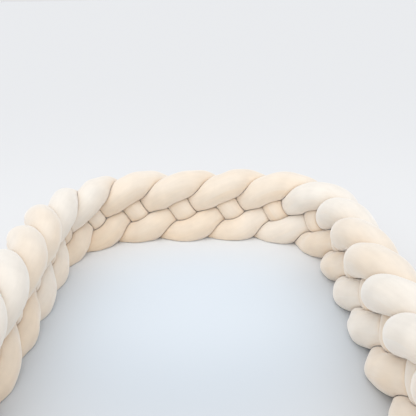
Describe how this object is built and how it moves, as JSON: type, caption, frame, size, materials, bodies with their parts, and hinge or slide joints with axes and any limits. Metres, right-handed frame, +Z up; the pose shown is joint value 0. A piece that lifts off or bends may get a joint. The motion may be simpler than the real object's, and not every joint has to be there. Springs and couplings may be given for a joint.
{
  "type": "crib bumper",
  "caption": "Soft crib bumper: four stuffed cream velvet tubes, plaited flat into a long roll that stands on edge in a U.",
  "frame": {"origin": "bottom centre of the bounding box, on the surface that the roll stands on, inside the U", "axes": "+Z up; +Y towards the closed back of the U, so the arms run along -Y; +X to the right seen from the open end"},
  "size_m": [0.5874, 0.8828, 0.1299],
  "materials": {
    "cream_velvet": "short-pile velvet, paler where its nap runs the other way"
  },
  "bodies": {
    "root": {"tube_1": "cream_velvet", "tube_2": "cream_velvet", "tube_3": "cream_velvet", "tube_4": "cream_velvet"}
  },
  "joints": []
}
